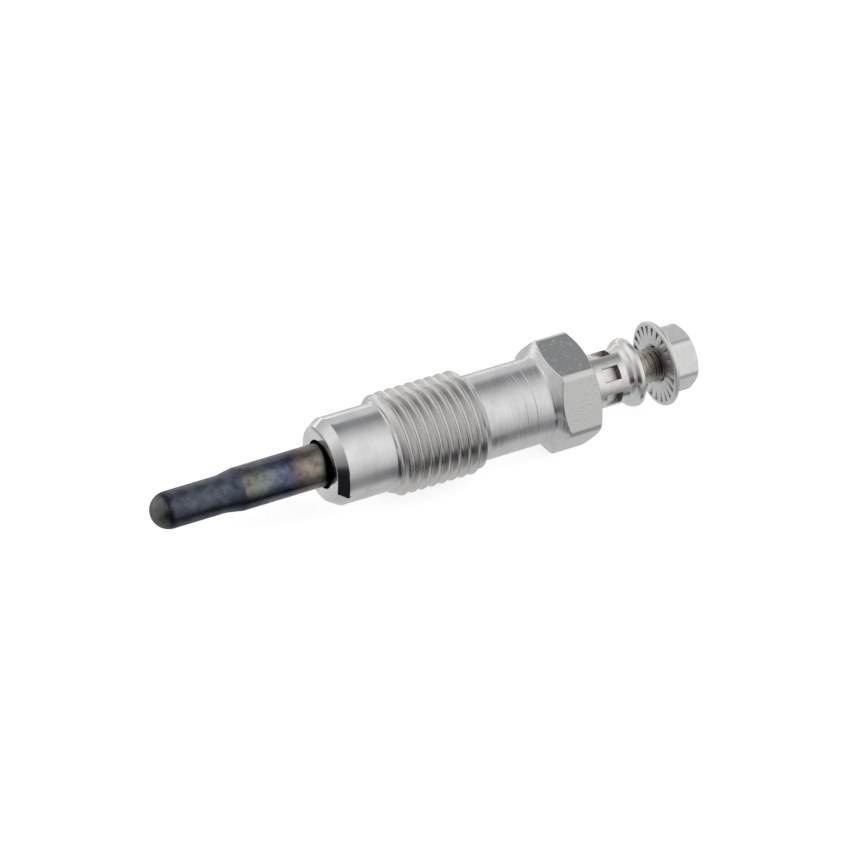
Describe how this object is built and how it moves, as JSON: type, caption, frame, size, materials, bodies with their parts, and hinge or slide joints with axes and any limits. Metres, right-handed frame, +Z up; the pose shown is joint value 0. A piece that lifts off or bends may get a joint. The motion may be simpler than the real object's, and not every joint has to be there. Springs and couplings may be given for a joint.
{
  "type": "diesel glow plug",
  "caption": "Sheathed diesel glow plug with a thin domed heating tube, threaded body with hexagon, crimped round nut and a toothed flange nut on its terminal stud.",
  "frame": {"origin": "on the surface the plug lies on, below the axis at the middle of the overall length", "axes": "+X along the plug's axis from the hot tip to the terminal, +Z up out of the hexagon flat it lies on"},
  "size_m": [0.068, 0.0134, 0.012],
  "materials": {
    "nickel_plated_steel": "bright nickel over turned steel",
    "oxidised_tube": "heat tinted dark oxide",
    "heating_wire": "drawn resistance wire",
    "regulating_wire": "drawn wire",
    "ceramic_powder": "compacted white powder",
    "seal_rubber": "matt black",
    "stud_steel": "dull rolled thread",
    "washer_plastic": "moulded brown",
    "round_nut_plating": "bright nickel",
    "flange_nut_plating": "white zinc"
  },
  "bodies": {
    "root": {"body_shell": "nickel_plated_steel", "glow_tube": "oxidised_tube", "heating_coil": "heating_wire", "regulating_coil": "regulating_wire", "insulating_powder": "ceramic_powder", "tube_seal": "seal_rubber", "terminal_stud": "stud_steel", "body_o_ring": "seal_rubber", "insulating_washer": "washer_plastic", "round_nut": "round_nut_plating", "flange_nut": "flange_nut_plating"}
  },
  "joints": []
}
